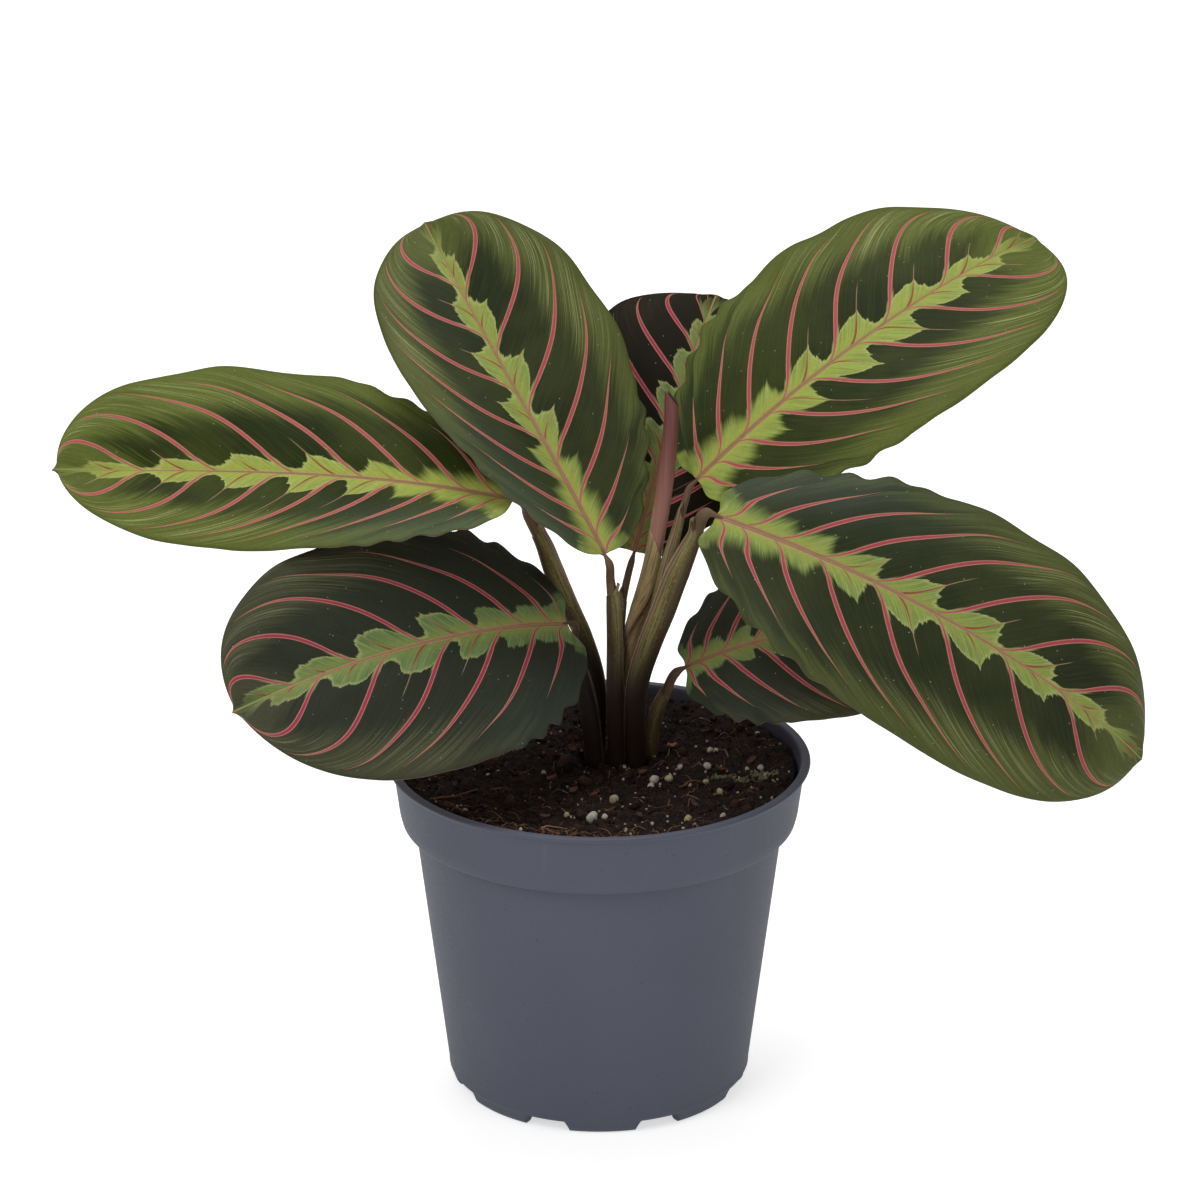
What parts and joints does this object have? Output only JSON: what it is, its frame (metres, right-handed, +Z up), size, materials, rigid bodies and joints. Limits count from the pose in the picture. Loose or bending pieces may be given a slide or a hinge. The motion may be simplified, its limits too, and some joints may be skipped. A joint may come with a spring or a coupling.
{
  "type": "potted prayer plant maranta",
  "caption": "Small prayer plant with red-veined, lime-banded oval leaves and a furled new leaf, growing in a round slate-grey nursery pot of dark soil.",
  "frame": {"origin": "on the ground under the middle of the whole plant's bounding box, within 2 mm of the pot's axis", "axes": "X to the right along the plant's widest spread, Y from the front of the plant to its back, Z up along the pot's axis"},
  "size_m": [0.302, 0.1546, 0.2386],
  "materials": {
    "pot_plastic": "moulded, matte with a faint sheen",
    "potting_soil": "moist crumbly peat with perlite grains and fibres",
    "leaf_blade": "satin leaf with red veins and a lime band along the midrib",
    "leaf_stalk": "satin olive brown stalk with a pale sheath edge",
    "new_leaf": "satin rolled leaf, maroon over olive"
  },
  "bodies": {
    "root": {"pot": "pot_plastic", "soil": "potting_soil", "blade_left": "leaf_blade", "blade_top_left": "leaf_blade", "blade_back": "leaf_blade", "blade_top_right": "leaf_blade", "blade_right": "leaf_blade", "blade_low_right": "leaf_blade", "blade_low_left": "leaf_blade", "stalk_left": "leaf_stalk", "stalk_top_left": "leaf_stalk", "stalk_back": "leaf_stalk", "stalk_top_right": "leaf_stalk", "stalk_right": "leaf_stalk", "stalk_low_right": "leaf_stalk", "stalk_low_left": "leaf_stalk", "furled_leaf": "new_leaf"}
  },
  "joints": []
}
